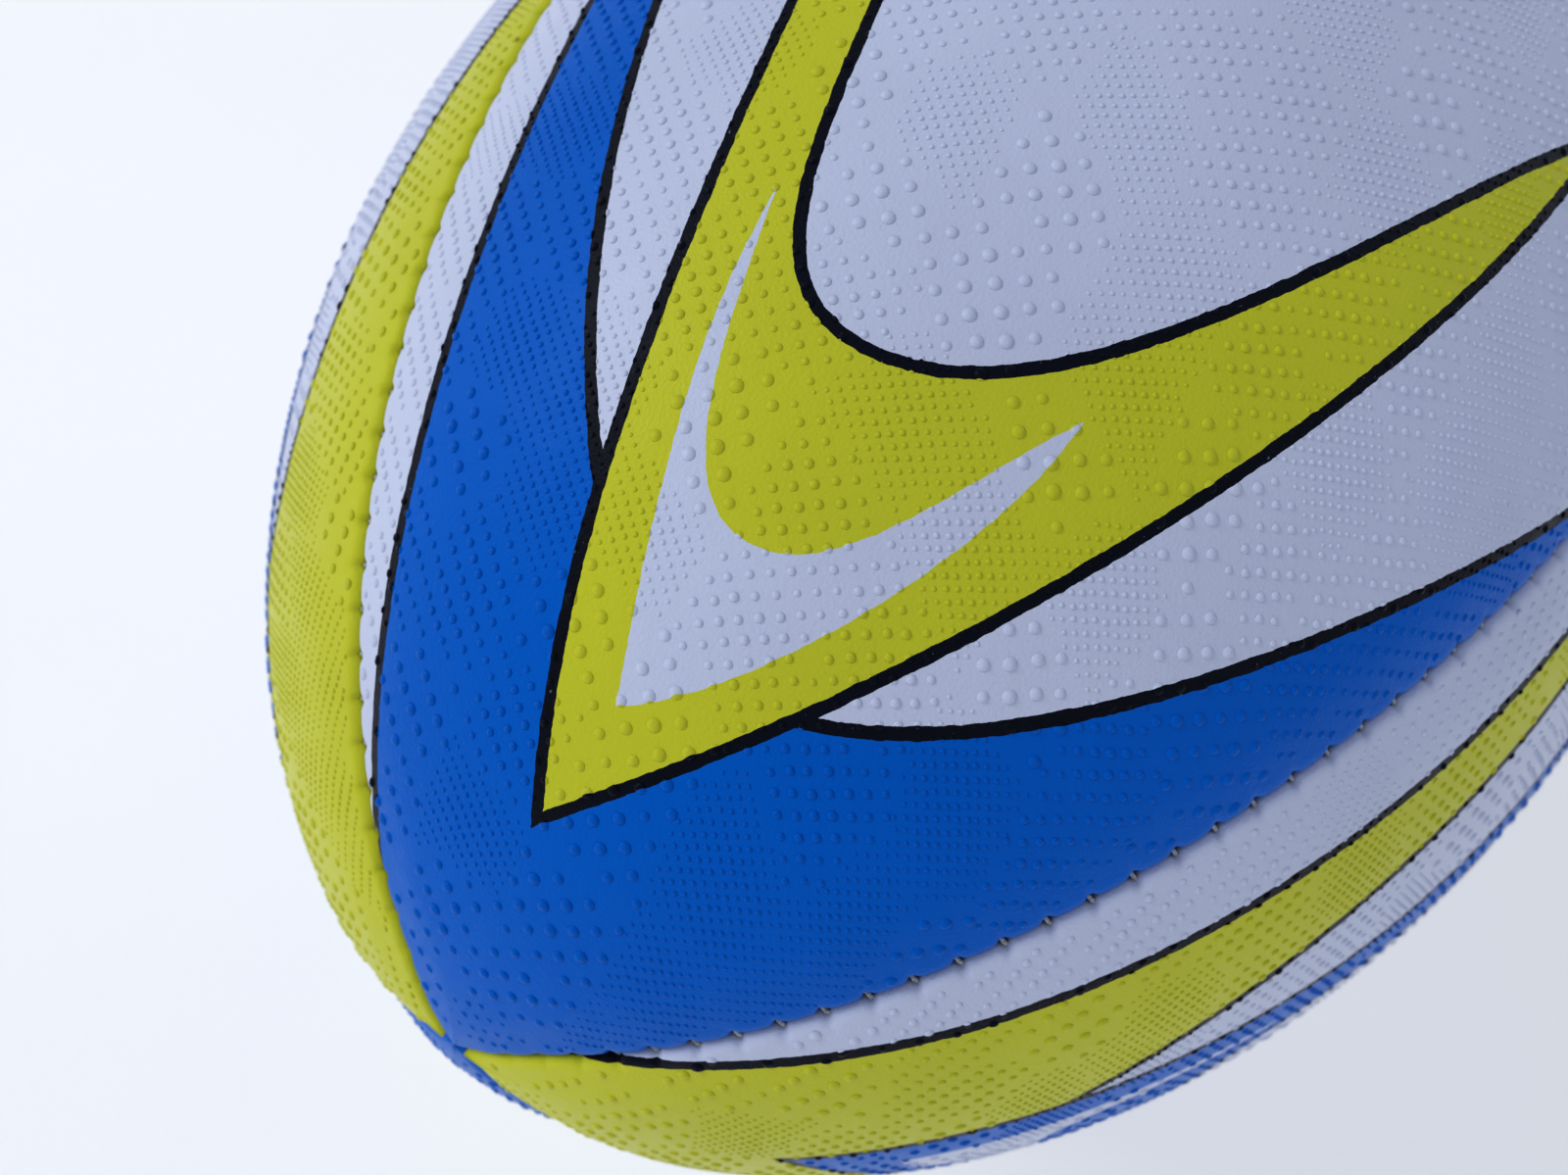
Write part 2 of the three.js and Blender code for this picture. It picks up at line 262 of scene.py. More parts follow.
def panel_layer(stations, depths, wide, outer_steps, inner_steps, notched):
    """Vertices and faces of one closed layer of a panel, with its middle at +Z."""
    outer = layer_face(stations, depths[0], wide, *outer_steps, notched)
    inner = layer_face(stations, depths[1], wide, *inner_steps, False)
    points = [place(stations[:, None], *face) for face in (outer, inner)]
    rows = len(stations)
    columns = [face.shape[1] for face in points]
    start = rows * columns[0]

    def index(face, row, column):
        return face * start + row * columns[face] + column

    faces = []
    for face, flip in ((0, False), (1, True)):
        row, column = np.meshgrid(np.arange(rows - 1), np.arange(columns[face] - 1), indexing="ij")
        quad = [
            index(face, row, column),
            index(face, row, column + 1),
            index(face, row + 1, column + 1),
            index(face, row + 1, column),
        ]
        quad = np.stack(quad[::-1] if flip else quad, -1).reshape(-1, 4)
        faces += quad.tolist()
    last = [count - 1 for count in columns]
    for row in range(rows - 1):
        faces.append([index(0, row + 1, 0), index(1, row + 1, 0), index(1, row, 0), index(0, row, 0)])
        faces.append([
            index(0, row, last[0]), index(1, row, last[1]),
            index(1, row + 1, last[1]), index(0, row + 1, last[0]),
        ])
    faces.append([index(0, 0, c) for c in range(columns[0] - 1, -1, -1)]
                 + [index(1, 0, c) for c in range(columns[1])])
    faces.append([index(0, rows - 1, c) for c in range(columns[0])]
                 + [index(1, rows - 1, c) for c in range(columns[1] - 1, -1, -1)])
    return np.concatenate([face.reshape(-1, 3) for face in points]), faces


# ------------------------------------------------------------------ the print

# Curves of the print at one tip, as cubic Bezier control points (along, across) in millimetres.
STRIP_EDGE = [[(12, 12), (65.5, 37.5), (119, 57), (170, 70)]]
LEFT_WING = [[(58, 8), (89, 40.5), (131.5, 48), (170, 70)]]
RIGHT_WING = [[(55, -4), (58.5, -30.5), (130, -65.5), (160, -78)]]
CHEVRON_LEFT = [[(35.8, 2.5), (74, 21), (110.5, 24.5), (150, 42)]]
CHEVRON_RIGHT = [[(35.8, 2.5), (70, -21.5), (117, -40), (158, -42)]]
CHEVRON_NOTCH = [
    [(150, 42), (132, 16), (84.5, 22), (84.5, 3)],
    [(84.5, 3), (84.5, -17.5), (133, -30.5), (158, -42)],
]
VEE_LEFT = [[(48.7, 1.9), (62.5, 7.5), (77, 14.5), (93.1, 16.7)]]
VEE_RIGHT = [[(48.7, 1.9), (55, -6.5), (77.5, -16.5), (90.9, -16)]]
VEE_NOTCH = [
    [(93.1, 16.7), (82.5, 13), (66, 9), (66.2, 1)],
    [(66.2, 1), (66, -7.5), (82.5, -11.5), (90.9, -16)],
]
CURVE_STEPS = 40
CURVE_TAIL = 60.0

# Each shape of the print is bounded by three curves. A sign of +1 keeps the left of the curve.
PRINT_SHAPES = {
    "wing_lines": ((STRIP_EDGE, -1), (LEFT_WING, -1), (RIGHT_WING, 1)),
    "chevron_lines": ((CHEVRON_LEFT, -1), (CHEVRON_RIGHT, 1), (CHEVRON_NOTCH, -1)),
    "vee_lines": ((VEE_LEFT, -1), (VEE_RIGHT, 1), (VEE_NOTCH, -1)),
}


def curve_points(pieces):
    """Points along the Bezier pieces, with a straight tail at each end."""
    share = np.linspace(0, 1, CURVE_STEPS + 1)[:, None]
    line = []
    for a, b, c, d in np.array(pieces, float):
        line.append(
            (1 - share) ** 3 * a + 3 * (1 - share) ** 2 * share * b
            + 3 * (1 - share) * share ** 2 * c + share ** 3 * d
        )
    line = np.concatenate([line[0]] + [piece[1:] for piece in line[1:]])
    head = line[0] - line[1]
    tail = line[-1] - line[-2]
    first = line[0] + CURVE_TAIL * head / np.hypot(*head)
    final = line[-1] + CURVE_TAIL * tail / np.hypot(*tail)
    return np.concatenate([[first], line, [final]])


def side_distance(points, pieces, sign):
    """The distance from each point to the curve, negative on the side that the shape keeps."""
    line = curve_points(pieces)
    nearest = np.full(len(points), np.inf)
    side = np.ones(len(points))
    for start, end in zip(line[:-1], line[1:]):
        step = end - start
        offset = points - start
        share = np.clip(offset @ step / (step @ step), 0, 1)
        gap = offset - share[:, None] * step
        distance = np.einsum("ij,ij->i", gap, gap)
        closer = distance < nearest
        nearest[closer] = distance[closer]
        turn = step[0] * offset[:, 1] - step[1] * offset[:, 0]
        side[closer] = np.where(turn[closer] > 0, 1, -1)
    return -sign * side * np.sqrt(nearest)


def print_distances(points):
    """The distances to every shape's three curves, at points on a panel with its middle at +Z.

    The print on the half beyond the middle of the ball is the same print turned half round.
    """
    x = np.clip(points[:, 0] / HALF_LENGTH, -1, 1)
    along = np.interp(np.arcsin(x), T_STEPS, ALONG_STEPS)
    across = outline(along)[1] * np.arctan2(points[:, 1], points[:, 2])
    far = along > TIP_TO_TIP / 2
    on_panel = np.stack([np.where(far, TIP_TO_TIP - along, along), np.where(far, -across, across)], -1)
    return {
        name: np.stack([side_distance(on_panel, *curve) for curve in curves], -1)
        for name, curves in PRINT_SHAPES.items()
    }


# ------------------------------------------------------------------ pimples

# size: (spacing along a row, spacing of rows, radius, height, sides of its outline)
PIMPLES = {
    "large": (3.4, 1.75, 0.70, 0.28, 10),
    "medium": (2.25, 1.3, 0.52, 0.22, 8),
    "small": (1.3, 0.78, 0.35, 0.16, 6),
}
# Rings of a pimple's dome as (share of its radius, share of its height).
DOME_RINGS = {
    "large": ((1.0, 0.0), (0.8, 0.5), (0.45, 0.87)),
    "medium": ((1.0, 0.0), (0.65, 0.7)),
    "small": ((1.0, 0.0), (0.6, 0.75)),
}
# Patches of pimples on the tip half of a panel: one row for each step across it, starting at
# FIRST_PATCH, with a letter for each step along it. The other half has the same patches turned
# half round.
PATCH_ROWS = (
    "LMSMLMMMSMLMSMLMS",
    "MSMLMLSMMSMLMSMLM",
    "LLLLMSSMMLMSLMMSL",
    "LLSMLSLMLSMMSMLMS",
    "MLLLLMMSLLSMLSMML",
    "MSSSMMSLSSMMSLMSM",
    "SMLSSSLSLMMSLMSML",
    "MLSMLMMLMSMMSMLSM",
    "SMLSMSLLMMSSMLMMS",
    "LSMMLSMLMMSMLSMLM",
    "MLSMSMLMSMLSMMLSM",
)
PATCH_SIZES = {"L": "large", "M": "medium", "S": "small"}
PATCH_STEP = 11.0
FIRST_PATCH = (6.0, 40.0)
ROW_STAGGER = 0.25
PATCH_SLANT = 0.3
PATCH_JITTER = 2.6
PATCH_SQUASH = 1.15
PATCH_SQUARENESS = 3

# Pimples keep off a patch's border, and those within PATCH_RIM of it are smaller.
PATCH_MARGIN = {"large": 0.35, "medium": 0.15, "small": 0.05}
PATCH_RIM = 2.8
PIMPLE_RIM_SIZE = 0.78
PIMPLE_SIZE_SPREAD = (0.92, 1.06)
PIMPLE_WANDER = 0.1
PIMPLE_EDGE_GAP = 1.7
PIMPLE_TIP_GAP = 5.0
PIMPLE_VALVE_GAP = 6.2
PIMPLE_ROOT = 0.08
PIMPLE_SEED = 7


def patch_centres(rng):
    """Centres and sizes of the patches over a whole panel."""
    centres, kinds = [], []
    for row, letters in enumerate(PATCH_ROWS):
        across = FIRST_PATCH[1] - PATCH_STEP * row
        for column, letter in enumerate(letters):
            along = FIRST_PATCH[0] + PATCH_STEP * (column + ROW_STAGGER * (row % 2))
            shift = rng.uniform(-PATCH_JITTER, PATCH_JITTER, 2)
            centre = np.array([along, across]) + shift
            centres += [centre, np.array([TIP_TO_TIP, 0]) - centre]
            kinds += [PATCH_SIZES[letter]] * 2
    return np.array(centres), np.array(kinds)


def patch_owners(points, centres):
    """The nearest patch of each point, and the distance to that patch's border."""
    first = np.full(len(points), np.inf)
    second = first.copy()
    owner = np.zeros(len(points), int)
    for number, centre in enumerate(centres):
        across = points[:, 1] - centre[1]
        along = points[:, 0] - centre[0] - PATCH_SLANT * across
        distance = np.abs(along) ** PATCH_SQUARENESS + np.abs(PATCH_SQUASH * across) ** PATCH_SQUARENESS
        distance = distance ** (1 / PATCH_SQUARENESS)
        closer = distance < first
        second = np.where(closer, first, np.minimum(second, distance))
        first = np.where(closer, distance, first)
        owner[closer] = number
    return owner, (second - first) / 2


def pimple_sites(wide):
    """(along, across, size factor) of every pimple on a panel, for each size."""
    rng = np.random.default_rng(PIMPLE_SEED)
    centres, kinds = patch_centres(rng)
    widest = HALF_WIDTH * math.pi / 4
    sites = {}
    for kind, (pitch, row_pitch, radius, _, _) in PIMPLES.items():
        last_row = math.ceil(widest / row_pitch)
        columns = np.arange(math.ceil(TIP_TO_TIP / pitch) + 1)
        column, row = np.meshgrid(columns, np.arange(-last_row, last_row + 1))
        points = np.stack([pitch * (column + 0.5 * (row % 2)), row_pitch * row], -1).reshape(-1, 2)
        points = points[np.abs(points[:, 0] - TIP_TO_TIP / 2) < TIP_TO_TIP / 2 - PIMPLE_TIP_GAP]
        edge = angle_beside_seam(points[:, 0], PIMPLE_EDGE_GAP, 0.0, wide) * outline(points[:, 0])[1]
        points = points[np.abs(points[:, 1]) < edge]
        owner, border = patch_owners(points, centres)
        kept = (kinds[owner] == kind) & (border > PATCH_MARGIN[kind])
        points, border = points[kept], border[kept]
        factor = PIMPLE_RIM_SIZE + (1 - PIMPLE_RIM_SIZE) * np.clip(border / PATCH_RIM, 0, 1)
        factor = factor * rng.uniform(*PIMPLE_SIZE_SPREAD, len(points))
        points = points + rng.normal(0, PIMPLE_WANDER * radius, points.shape)
        sites[kind] = np.column_stack([points, factor])
    return sites


def dome(rings, sides):
    """A closed dome of radius 1 and height 1, as points, its curved faces and its flat foot."""
    turn = np.arange(sides) * 2 * math.pi / sides
    circle = np.stack([np.cos(turn), np.sin(turn)], -1)
    points = [np.column_stack([size * circle, np.full(sides, height)]) for size, height in rings]
    points = np.concatenate(points + [np.array([[0.0, 0.0, 1.0]])])
    top = len(points) - 1
    faces = []
    for side in range(sides):
        after = (side + 1) % sides
        for ring in range(0, (len(rings) - 1) * sides, sides):
            upper = ring + sides
            faces.append([ring + side, ring + after, upper + after])
            faces.append([ring + side, upper + after, upper + side])
        faces.append([top - sides + side, top - sides + after, top])
    foot = [[0, side + 1, side] for side in range(1, sides - 1)]
    return points, np.array(faces), np.array(foot)


def pimples(sites, kind):
    """All the pimples of one size on a panel: points, curved faces, feet, and the share of its
    height at which each point lies.
    """
    _, _, radius, height, sides = PIMPLES[kind]
    shape, faces, foot = dome(DOME_RINGS[kind], sides)
    along, across, factor = sites.T
    x, reach, normal_x, normal_r = outline(along)
    angle = across / reach
    distance = np.abs(reach * (math.pi / 4 - np.abs(angle)))
    base = place(along, angle, surface_sink(along, distance) + PIMPLE_ROOT)
    normal = np.stack([normal_x, normal_r * np.sin(angle), normal_r * np.cos(angle)], -1)
    sideways = np.stack([np.zeros_like(angle), np.cos(angle), -np.sin(angle)], -1)
    forward = np.cross(sideways, normal)
    size = (radius * factor)[:, None, None]
    lift = ((height + PIMPLE_ROOT) * factor)[:, None, None]
    points = (
        base[:, None]
        + size * shape[None, :, 0, None] * forward[:, None]
        + size * shape[None, :, 1, None] * sideways[:, None]
        + lift * shape[None, :, 2, None] * normal[:, None]
    )
    shift = (np.arange(len(sites)) * len(shape))[:, None, None]
    raised = np.tile(shape[:, 2], len(sites))
    return points.reshape(-1, 3), (faces + shift).reshape(-1, 3), (foot + shift).reshape(-1, 3), raised


# ------------------------------------------------------------------ mesh objects


def new_object(name, points, faces, material, flat_faces=()):
    """A smooth-shaded mesh object from points in millimetres. flat_faces are added flat."""
    mesh = bpy.data.meshes.new(name)
    every_face = list(faces) + list(flat_faces)
    mesh.from_pydata((points * MM).tolist(), [], every_face)
    flat = np.zeros(len(every_face), bool)
    flat[len(faces):] = True
    mesh.polygons.foreach_set("use_smooth", ~flat)
    mesh.materials.append(material)
    mesh.update()
    item = bpy.data.objects.new(name, mesh)
    bpy.context.scene.collection.objects.link(item)
    return item


def mesh_points(mesh):
    """A mesh's points in millimetres."""
    points = np.zeros(3 * len(mesh.vertices), np.float32)
    mesh.vertices.foreach_get("co", points)
    return points.reshape(-1, 3) / MM


def add_print(mesh, points):
    """Keeps the print's distances on the mesh's points, for printed_rubber to read."""
    for name, values in print_distances(points).items():
        attribute = mesh.attributes.new(name, "FLOAT_VECTOR", "POINT")
        attribute.data.foreach_set("vector", values.astype(np.float32).ravel())


def add_numbers(mesh, name, values):
    """Keeps one number on each of the mesh's points."""
    attribute = mesh.attributes.new(name, "FLOAT", "POINT")
    attribute.data.foreach_set("value", values.astype(np.float32))


def turn_to_panel(item, angle):
    """Turns a mesh made for a panel at +Z to the panel at this angle."""
    item.data.transform(Matrix.Rotation(-angle, 4, "X"))


# ------------------------------------------------------------------ materials

# Colours are linear and sizes are in millimetres. The rest are shares and noise levels.
BLUE = (0.0, 0.132, 0.57)
LIME = (0.60, 0.615, 0.038)
WHITE = (0.61, 0.655, 0.81)
BLACK = (0.008, 0.009, 0.015)
WORN_BLACK = (0.13, 0.14, 0.17)
# Painted shade for points deep in the seams' grooves.
DEEP_SHADE = (0.012, 0.013, 0.018)
DIRT = (0.02, 0.03, 0.06)
MOST_DIRT = 0.07
LINE_HALF_WIDTH = 0.55
PRINT_WOBBLE = 0.07
WORN_SPECK_SIZE = 0.5
WORN_SPECK_LEVEL = 0.74
# Painted shade on the pimples' tops, as a share of black.
PAINTED_TOP_SHADE = 0.05
# Painted shade round the pimples' rims, as a share of black.
PAINTED_RIM_SHADE = 0.08
DEEP_SHADE_DEPTHS = (1.3, 2.6)
GRAIN_SIZE = 0.35
GRAIN_HEIGHT = 0.06
RIPPLE_SIZE = 5
RIPPLE_SHARE = 1.6
COVER_ROUGHNESS = (0.34, 0.44)
COVER_SPECULAR = 0.20
SHEEN_WHITE = 0.15

CLOTH_SHADES = ((0.42, 0.38, 0.29), (0.68, 0.65, 0.54))
CLOTH_WAVE_SCALE = 300.0
CLOTH_RELIEF = 0.15
THREAD_SHADES = ((0.22, 0.23, 0.25), (0.52, 0.53, 0.55))
FLOOR_SHADES = ((0.93, 0.93, 0.92), (0.96, 0.96, 0.95))
FLOOR_GLOW = 0.25

# Blender's noise seldom leaves this range.
NOISE_RANGE = (0.3, 0.7)


class Graph:
    """Builds one material's nodes."""

    def __init__(self, name):
        self.material = bpy.data.materials.new(name)
        self.material.use_nodes = True
        self.tree = self.material.node_tree
        self.tree.nodes.clear()
        self.shader = self.add("ShaderNodeBsdfPrincipled")
        output = self.add("ShaderNodeOutputMaterial")
        self.tree.links.new(self.shader.outputs[0], output.inputs["Surface"])
        self.place = self.add("ShaderNodeTexCoord").outputs["Object"]

    def add(self, kind, **settings):
        node = self.tree.nodes.new(kind)
        for name, value in settings.items():
            setattr(node, name, value)
        return node

    def feed(self, socket, value):
        if isinstance(value, bpy.types.NodeSocket):
            self.tree.links.new(value, socket)
        elif isinstance(value, tuple) and len(value) == 3 and socket.type == "RGBA":
            socket.default_value = (*value, 1)
        else:
            socket.default_value = value

    def math(self, operation, first, second=0.0):
        node = self.add("ShaderNodeMath", operation=operation)
        self.feed(node.inputs[0], first)
        self.feed(node.inputs[1], second)
        return node.outputs[0]

    def vector(self, operation, first, second):
        node = self.add("ShaderNodeVectorMath", operation=operation)
        self.feed(node.inputs[0], first)
        self.feed(node.inputs[1], second)
        return node.outputs[0]

    def mix(self, factor, first, second):
        node = self.add("ShaderNodeMix", data_type="RGBA")
        self.feed(node.inputs["Factor"], factor)
        self.feed(node.inputs[6], first)
        self.feed(node.inputs[7], second)
        return node.outputs[2]

    def ramp(self, value, low, high, start=0.0, end=1.0):
        """Maps value from low..high to start..end, held outside that range."""
        node = self.add("ShaderNodeMapRange")
        for number, given in enumerate((value, low, high, start, end)):
            self.feed(node.inputs[number], given)
        return node.outputs[0]

    def noise(self, size, detail=2.0, roughness=0.5, stretch=None):
        """Noise from 0 to 1 with features about `size` millimetres across."""
        node = self.add("ShaderNodeTexNoise")
        place = self.vector("MULTIPLY", self.place, stretch) if stretch else self.place
        self.feed(node.inputs["Vector"], place)
        self.feed(node.inputs["Scale"], 1 / (size * MM))
        self.feed(node.inputs["Detail"], detail)
        self.feed(node.inputs["Roughness"], roughness)
        return node.outputs["Fac"]

    def attribute(self, name):
        return self.add("ShaderNodeAttribute", attribute_name=name)

    def bump(self, height, distance, strength=1.0):
        """Raises the surface by height x distance, in millimetres."""
        node = self.add("ShaderNodeBump")
        self.feed(node.inputs["Height"], height)
        self.feed(node.inputs["Distance"], distance * MM)
        self.feed(node.inputs["Strength"], strength)
        self.feed(self.shader.inputs["Normal"], node.outputs[0])

    def surface(self, colour, roughness, specular=0.5):
        self.feed(self.shader.inputs["Base Color"], colour)
        self.feed(self.shader.inputs["Roughness"], roughness)
        self.feed(self.shader.inputs["Specular IOR Level"], specular)
        return self.material


def shape_distance(graph, name, wobble):
    """The signed distance to one shape of the print, negative inside it.

    The wings are inside their outer curve and outside at least one of the two wing curves. The
    other shapes are inside all three of their curves.
    """
    parts = graph.add("ShaderNodeSeparateXYZ")
    graph.feed(parts.inputs[0], graph.attribute(name).outputs["Vector"])
    first, second, third = parts.outputs
    if name == "wing_lines":
        between_wings = graph.math("MAXIMUM", second, third)
        distance = graph.math("MAXIMUM", first, graph.math("MULTIPLY", between_wings, -1.0))
    else:
        distance = graph.math("MAXIMUM", graph.math("MAXIMUM", first, second), third)
    return graph.math("ADD", distance, wobble)


def outlined(graph, colour, distance):
    """The colour with a worn black line along a shape's edge."""
    on_line = graph.math("LESS_THAN", graph.math("ABSOLUTE", distance), LINE_HALF_WIDTH)
    worn = graph.math("GREATER_THAN", graph.noise(WORN_SPECK_SIZE, 2), WORN_SPECK_LEVEL)
    return graph.mix(on_line, colour, graph.mix(worn, BLACK, WORN_BLACK))


def printed_rubber(name, outer, inner):
    """A cover's rubber: white, with printed wings, then a chevron on them, then a white vee."""
    graph = Graph(name)
    wobble = graph.ramp(graph.noise(1.3, 3), *NOISE_RANGE, -PRINT_WOBBLE, PRINT_WOBBLE)
    wings = shape_distance(graph, "wing_lines", wobble)
    chevron = shape_distance(graph, "chevron_lines", wobble)
    vee = shape_distance(graph, "vee_lines", wobble)
    in_wings, in_chevron, in_vee = (
        graph.math("LESS_THAN", distance, 0.0) for distance in (wings, chevron, vee)
    )
    colour = outlined(graph, graph.mix(in_wings, WHITE, outer), wings)
    colour = outlined(graph, graph.mix(in_chevron, colour, inner), chevron)
    # Painted shade: the pimples' tops on the coloured print are darkened a little towards black.
    top = graph.attribute("pimple_top").outputs["Fac"]
    shaded_top = graph.math("MULTIPLY", top, graph.math("MAXIMUM", in_wings, in_chevron))
    colour = graph.mix(graph.math("MULTIPLY", shaded_top, PAINTED_TOP_SHADE), colour, BLACK)
    colour = graph.mix(in_vee, colour, WHITE)
    # Painted shade: each pimple darkens towards black from its top down to its foot.
    rim = graph.attribute("pimple_rim").outputs["Fac"]
    colour = graph.mix(graph.math("MULTIPLY", rim, PAINTED_RIM_SHADE), colour, BLACK)
    colour = graph.mix(graph.ramp(graph.noise(28, 3), *NOISE_RANGE, 0.0, MOST_DIRT), colour, DIRT)
    # Painted shade: points deep below the surface, in the seams' grooves, darken towards near-black.
    groove_shade = graph.ramp(graph.attribute("below_surface").outputs["Fac"], *DEEP_SHADE_DEPTHS)
    colour = graph.mix(groove_shade, colour, DEEP_SHADE)
    ripple = graph.math("MULTIPLY", graph.noise(RIPPLE_SIZE, 2), RIPPLE_SHARE)
    graph.bump(graph.math("ADD", graph.noise(GRAIN_SIZE, 3), ripple), GRAIN_HEIGHT)
    sheen = graph.mix(SHEEN_WHITE, colour, (1.0, 1.0, 1.0))
    graph.feed(graph.shader.inputs["Specular Tint"], sheen)
    roughness = graph.ramp(graph.noise(3, 3), *NOISE_RANGE, *COVER_ROUGHNESS)
    return graph.surface(colour, roughness, COVER_SPECULAR)


def woven_cloth(name):
    """Off-white polyester and cotton cloth, coated with latex.

    The second wave's bands run along X too, where its vector is 0. The product is then 0, so the
    cloth comes out in its first shade, with no relief.
    """
    graph = Graph(name)
    waves = []
    for stretch in ((1.0, 0.0, 0.0), (0.0, 1.0, 1.0)):
        wave = graph.add("ShaderNodeTexWave", wave_profile="SIN")
        graph.feed(wave.inputs["Vector"], graph.vector("MULTIPLY", graph.place, stretch))
        graph.feed(wave.inputs["Scale"], CLOTH_WAVE_SCALE)
        waves.append(wave.outputs["Fac"])
    weave = graph.math("MULTIPLY", *waves)
    colour = graph.mix(weave, *CLOTH_SHADES)
    graph.bump(weave, CLOTH_RELIEF)
    return graph.surface(colour, 0.85, 0.2)


def plain_rubber(name, colour, dusty, roughness):
    """Moulded rubber with a fine grain and a dusty bloom."""
    graph = Graph(name)
    bloom = graph.ramp(graph.noise(9, 4), 0.4, 0.7, 0.0, 0.6)
    graph.bump(graph.noise(0.4, 3), 0.04)
    return graph.surface(graph.mix(bloom, colour, dusty), roughness, 0.4)


def waxed_thread(name):
    """Light grey waxed polyester."""
    graph = Graph(name)
    fibres = graph.noise(0.22, 3, stretch=(0.4, 1.0, 1.0))
    colour = graph.mix(graph.ramp(fibres, 0.35, 0.65), *THREAD_SHADES)
    graph.bump(fibres, 0.05)
    return graph.surface(colour, 0.5, 0.5)


def painted_floor(name):
    """Matt white paint that glows a little, as a lit studio table does."""
    graph = Graph(name)
    colour = graph.mix(graph.noise(60, 3), *FLOOR_SHADES)
    graph.feed(graph.shader.inputs["Emission Color"], (1.0, 1.0, 1.0))
    graph.feed(graph.shader.inputs["Emission Strength"], FLOOR_GLOW)
    return graph.surface(colour, 0.8, 0.2)


PRINTS = {
    "blue": printed_rubber("blue_cover_rubber", BLUE, LIME),
    "lime": printed_rubber("lime_cover_rubber", LIME, BLUE),
}
CLOTH = woven_cloth("latex_cloth")
THREAD = waxed_thread("seam_thread")
BLADDER_RUBBER = plain_rubber("bladder_rubber", (0.018, 0.018, 0.020), (0.06, 0.06, 0.062), 0.5)
VALVE_RUBBER = plain_rubber("valve_rubber", (0.020, 0.021, 0.024), (0.05, 0.05, 0.055), 0.45)
PATCH_RUBBER = plain_rubber("patch_rubber", (0.05, 0.045, 0.04), (0.10, 0.095, 0.09), 0.7)
PLUG_RUBBER = plain_rubber("plug_rubber", (0.035, 0.036, 0.040), (0.09, 0.09, 0.095), 0.5)


# ------------------------------------------------------------------ pieces

# A station is a place along a panel where a layer has a row of points. The cover has them at
# these offsets from every stitch, and between the tips and their first stitch.
STATION_OFFSETS = np.array([-0.95, -0.6, -0.3, 0.0, 0.3, 0.6, 0.95, STITCH_PITCH / 2])
TIP_STATION_STEP = 0.7
EXTRA_TIP_STATIONS = 3
TIP_STATION_SPREAD = 1.5
PLY_STATIONS = 110
PLY_START_GAP = 0.5

# Steps round the rolled edge, over the band and over the crown, for a layer's two faces.
COVER_STEPS = ((6, 7, 44), (2, 3, 12))
PLY_STEPS = ((3, 4, 20), (2, 3, 20))

# A wide panel starts this far from the tip, and a narrow one where it has this much room.
WIDE_START = 0.12
NARROW_START_ROOM = 0.3
START_SEARCH = np.linspace(0, 6.0, 2001)

HOLE_SIDES = 72
HOLE_CUTTER_LENGTH = 60.0
HOLE_EDGE_ANGLE = math.radians(50)


def start_of_panel(wide):
    """How far from the tip a panel starts."""
    if wide:
        return WIDE_START
    room = room_beside_seam(START_SEARCH, outline(START_SEARCH)[1], False)
    return START_SEARCH[np.argmax(room > NARROW_START_ROOM)]


def cover_stations(wide):
    """Stations that spread out from one tip, follow the stitches, and close up at the other."""
    start = start_of_panel(wide)
    first = STITCHES[0] + STATION_OFFSETS[0]
    count = math.ceil((first - start) / TIP_STATION_STEP) + EXTRA_TIP_STATIONS
    tip = start + (first - start) * np.linspace(0, 1, count, endpoint=False) ** TIP_STATION_SPREAD
    middle = (STITCHES[:, None] + STATION_OFFSETS).ravel()[:-1]
    return np.concatenate([tip, middle, (TIP_TO_TIP - tip)[::-1]])


def ply_stations(wide):
    """Stations that lie closest together at the two tips."""
    start = start_of_panel(wide) + PLY_START_GAP
    turn = np.linspace(0, math.pi, PLY_STATIONS)
    return start + (TIP_TO_TIP - 2 * start) * (1 - np.cos(turn)) / 2


def cut_valve_hole(item, radius):
    """Cuts the valve's hole out of a mesh on the +Y side."""
    low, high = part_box("valve_body")
    bpy.ops.mesh.primitive_cylinder_add(
        vertices=HOLE_SIDES,
        radius=radius * MM,
        depth=HOLE_CUTTER_LENGTH * MM,
        location=((low[0] + high[0]) / 2, high[1], (low[2] + high[2]) / 2),
        rotation=(math.pi / 2, 0, 0),
    )
    cutter = bpy.context.object
    boolean = item.modifiers.new("valve_hole", "BOOLEAN")
    boolean.object = cutter
    boolean.operation = "DIFFERENCE"
    boolean.solver = "EXACT"
    bpy.context.view_layer.update()
    solid = bpy.data.meshes.new_from_object(item.evaluated_get(bpy.context.evaluated_depsgraph_get()))
    solid.set_sharp_from_angle(angle=HOLE_EDGE_ANGLE)
    item.modifiers.clear()
    item.data = solid
    bpy.data.objects.remove(cutter)


def depth_below_surface(points):
    """How deep each point lies, for points on a panel with its middle at +Z."""
    x = np.clip(points[:, 0] / HALF_LENGTH, -1, 1)
    _, radius, _, normal_r = outline_at(np.arcsin(x))
    return (radius - np.hypot(points[:, 1], points[:, 2])) * normal_r


